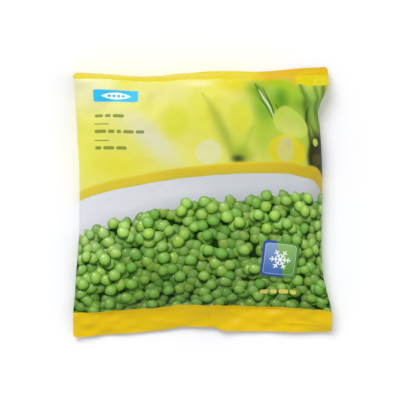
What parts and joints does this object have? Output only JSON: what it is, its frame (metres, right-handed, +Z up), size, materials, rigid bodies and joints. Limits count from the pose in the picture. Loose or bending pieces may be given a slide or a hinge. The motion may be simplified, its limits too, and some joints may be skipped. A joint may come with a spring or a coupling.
{
  "type": "frozen vegetable bag",
  "caption": "Filled pillow bag of frozen peas, lying on its back, with a flat seal at each end and printed film all round.",
  "frame": {"origin": "on the table, under the middle of the bag's outline", "axes": "+X to the bag's right, +Y from the bottom seal to the top seal, +Z up out of the printed front"},
  "size_m": [0.1998, 0.2098, 0.0368],
  "materials": {
    "printed_film": "semi-gloss printed polyethylene film"
  },
  "bodies": {
    "root": {"bag": "printed_film"}
  },
  "joints": []
}
